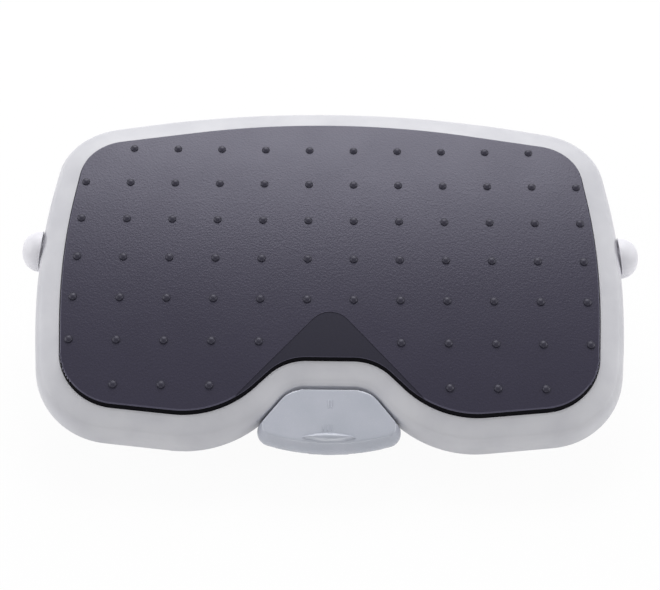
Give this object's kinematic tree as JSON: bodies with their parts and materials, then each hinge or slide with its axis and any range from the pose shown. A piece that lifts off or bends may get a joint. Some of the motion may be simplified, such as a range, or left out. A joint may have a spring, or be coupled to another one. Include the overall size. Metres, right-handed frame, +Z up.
{
  "type": "footrest",
  "caption": "Ergonomic under-desk footrest: a crowned rubber-topped platform rocks on a low frame and a heel pedal frees the tilt.",
  "frame": {"origin": "centre of the box at floor level", "axes": "+X to the sitter's right along the axle, +Y away from the sitter, +Z up"},
  "size_m": [0.5604, 0.348, 0.1435],
  "materials": {
    "rim_grey": "satin moulded light grey",
    "mat_rubber": "matte fine grain, dark violet grey",
    "pedal_grey": "smooth bluish grey",
    "frame_grey": "satin pale grey",
    "mechanism_black": "black moulded, fine texture",
    "foot_rubber": "matte black",
    "plated_steel": "zinc plated",
    "sector_steel": "sintered, oiled",
    "bush_plastic": "natural acetal"
  },
  "bodies": {
    "base": {"left_leg": "frame_grey", "right_leg": "frame_grey", "front_rail": "frame_grey", "rear_rail": "frame_grey", "centre_beam": "frame_grey", "pivot_axle": "plated_steel", "left_hub_cap": "frame_grey", "right_hub_cap": "frame_grey", "brake_post": "mechanism_black", "brake_sector": "sector_steel", "sector_bolt": "plated_steel", "sector_nut": "plated_steel", "front_left_foot": "foot_rubber", "front_right_foot": "foot_rubber", "rear_left_foot": "foot_rubber", "rear_right_foot": "foot_rubber", "front_left_rail_screw": "plated_steel", "front_right_rail_screw": "plated_steel", "rear_left_rail_screw": "plated_steel", "rear_right_rail_screw": "plated_steel", "front_beam_screw": "plated_steel", "rear_beam_screw": "plated_steel", "front_post_screw": "plated_steel", "rear_post_screw": "plated_steel"},
    "platform": {"platform_tray": "rim_grey", "grip_mat": "mat_rubber", "left_pivot_block": "mechanism_black", "right_pivot_block": "mechanism_black", "left_bush": "bush_plastic", "right_bush": "bush_plastic", "release_cradle": "mechanism_black", "pedal_pin": "plated_steel", "pin_clip": "plated_steel", "release_spring": "plated_steel", "left_block_front_screw": "plated_steel", "left_block_rear_screw": "plated_steel", "right_block_front_screw": "plated_steel", "right_block_rear_screw": "plated_steel", "cradle_left_front_screw": "plated_steel", "cradle_left_rear_screw": "plated_steel", "cradle_right_front_screw": "plated_steel", "cradle_right_rear_screw": "plated_steel"},
    "pedal": {"foot_pedal": "pedal_grey"},
    "brake": {"brake_shoe": "bush_plastic", "brake_pad": "foot_rubber", "pull_rod": "plated_steel", "rod_nut": "plated_steel"}
  },
  "joints": [
    {"name": "platform_tilt", "type": "hinge", "parent": "base", "child": "platform", "pos_m": [0, 0.01226, 0.094], "axis": [1, 0, 0], "range_deg": [-15, 5]},
    {"name": "pedal_press", "type": "hinge", "parent": "platform", "child": "pedal", "pos_m": [0, -0.10542, 0.03865], "axis": [1, 0, 0], "range_deg": [0, 8], "stiffness_Nm_per_rad": 3, "springref_deg": -11.46},
    {"name": "brake_release", "type": "slide", "parent": "platform", "child": "brake", "axis": [0, -0.9659, -0.2588], "range_m": [0, 0.0019], "deforming": ["release_spring"]}
  ],
  "couplings": [
    {"joint": "brake_release", "follows": "pedal_press", "m_per_rad": 0.013}
  ]
}
